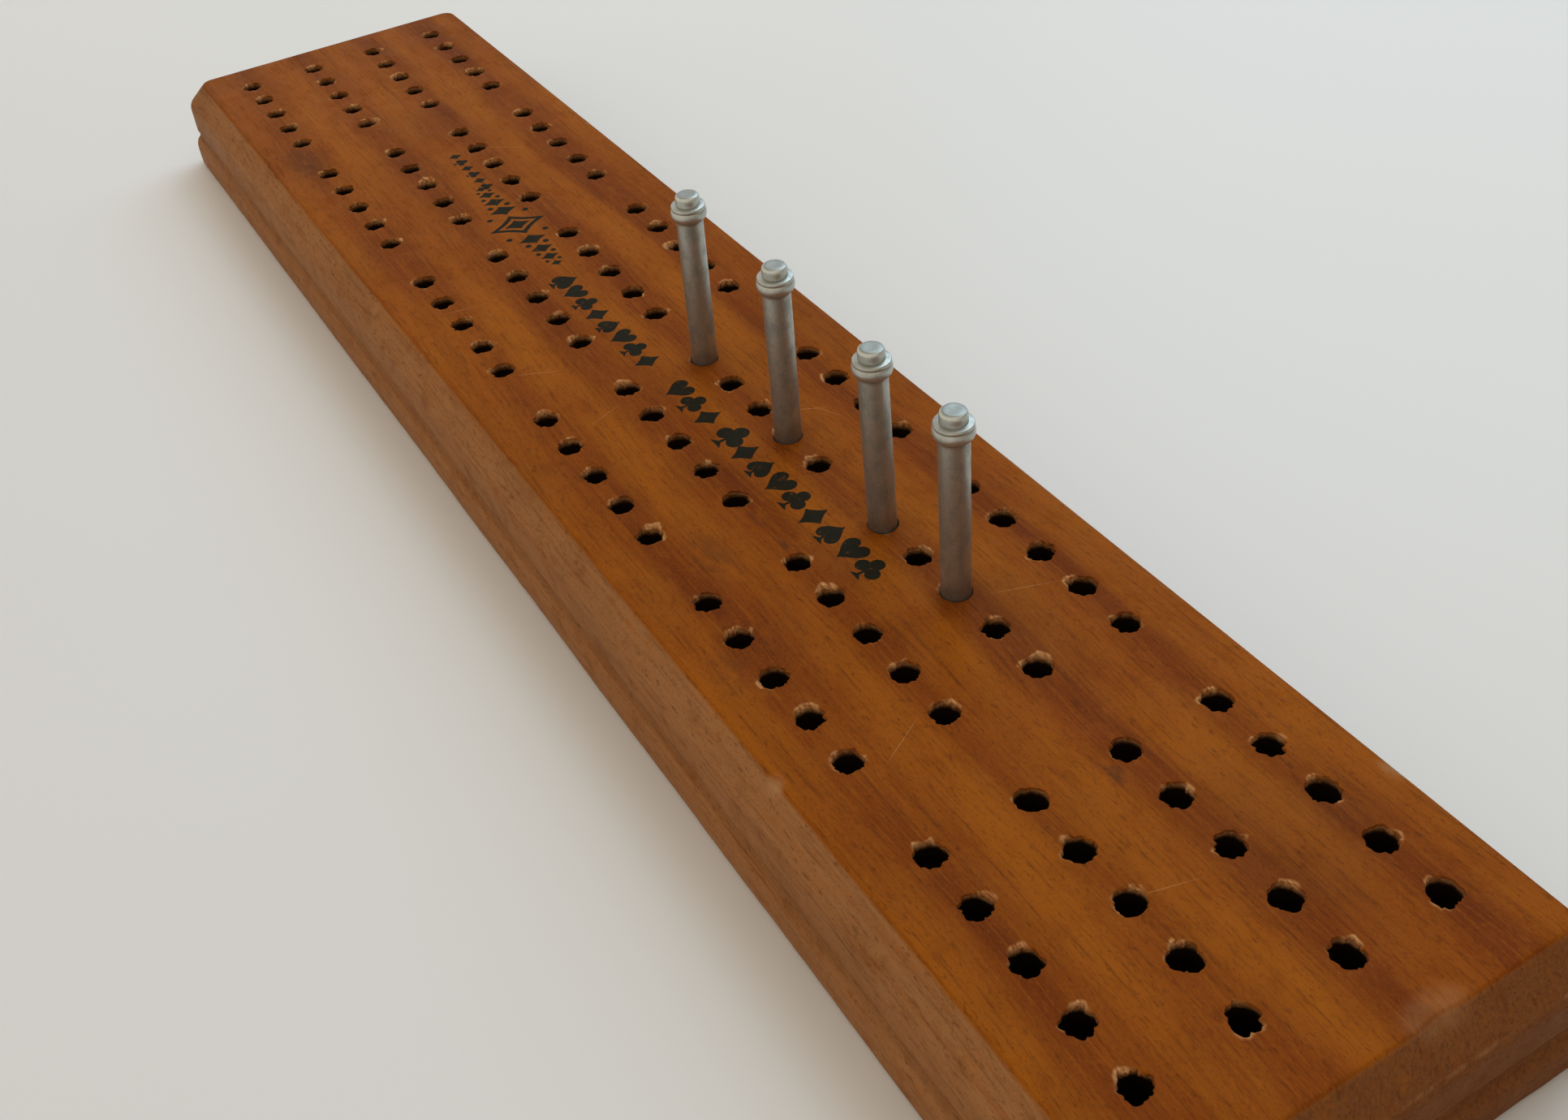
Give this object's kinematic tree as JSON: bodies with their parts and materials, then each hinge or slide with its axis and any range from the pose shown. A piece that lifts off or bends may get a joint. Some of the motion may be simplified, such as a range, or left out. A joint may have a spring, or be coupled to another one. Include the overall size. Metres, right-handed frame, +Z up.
{
  "type": "cribbage board",
  "caption": "Bevelled hardwood peg-scoring board with blind peg holes in rows, turned metal pegs, and a peg store under a sliding metal cover.",
  "frame": {"origin": "centre of the board on the plane it stands on", "axes": "+X along the board, +Y across it, +Z up out of the playing face"},
  "size_m": [0.237, 0.0498, 0.0352],
  "materials": {
    "wood": "worn satin varnish",
    "peg_metal": "turned, dulled",
    "cover_metal": "rolled sheet, dulled"
  },
  "bodies": {
    "board": {"board": "wood"},
    "peg_1": {"peg_1": "peg_metal"},
    "peg_2": {"peg_2": "peg_metal"},
    "peg_3": {"peg_3": "peg_metal"},
    "peg_4": {"peg_4": "peg_metal"},
    "cover": {"store_cover": "cover_metal"}
  },
  "joints": [
    {"name": "peg_1_lift", "type": "slide", "parent": "board", "child": "peg_1", "axis": [0, 0, 1], "range_m": [0, 0.03]},
    {"name": "peg_2_lift", "type": "slide", "parent": "board", "child": "peg_2", "axis": [0, 0, 1], "range_m": [0, 0.03]},
    {"name": "peg_3_lift", "type": "slide", "parent": "board", "child": "peg_3", "axis": [0, 0, 1], "range_m": [0, 0.03]},
    {"name": "peg_4_lift", "type": "slide", "parent": "board", "child": "peg_4", "axis": [0, 0, 1], "range_m": [0, 0.03]},
    {"name": "cover_slide", "type": "slide", "parent": "board", "child": "cover", "axis": [-1, 0, 0], "range_m": [0, 0.046]}
  ]
}
